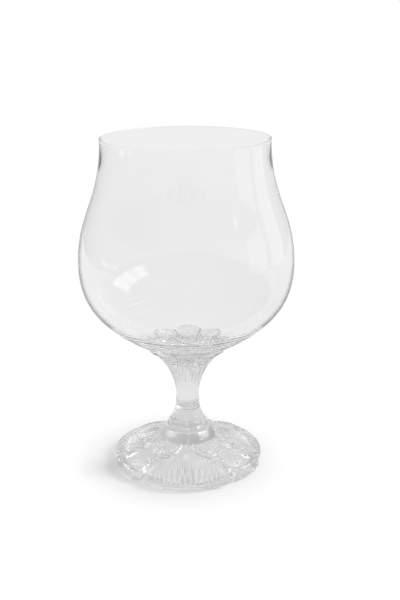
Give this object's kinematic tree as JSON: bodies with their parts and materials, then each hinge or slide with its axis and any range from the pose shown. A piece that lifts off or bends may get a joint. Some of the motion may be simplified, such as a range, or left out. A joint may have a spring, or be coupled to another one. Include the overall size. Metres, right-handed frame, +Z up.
{
  "type": "cognac snifter",
  "caption": "Clear crystal cognac snifter: balloon bowl with a narrowed mouth on a short pressed stem with a lobed calyx and a lobed foot with fluted fans and scrolls.",
  "frame": {"origin": "on the table plane under the axis of the glass", "axes": "+Z up along the axis of the glass from foot to mouth, -Y towards the viewer of the picture, through the middle of one fluted fan of the foot"},
  "size_m": [0.0888, 0.0888, 0.14],
  "materials": {
    "blown_crystal": "clear, fire polished",
    "pressed_crystal": "clear, pressed relief, fire polished"
  },
  "bodies": {
    "root": {"bowl": "blown_crystal", "stem": "pressed_crystal", "foot": "pressed_crystal"}
  },
  "joints": []
}
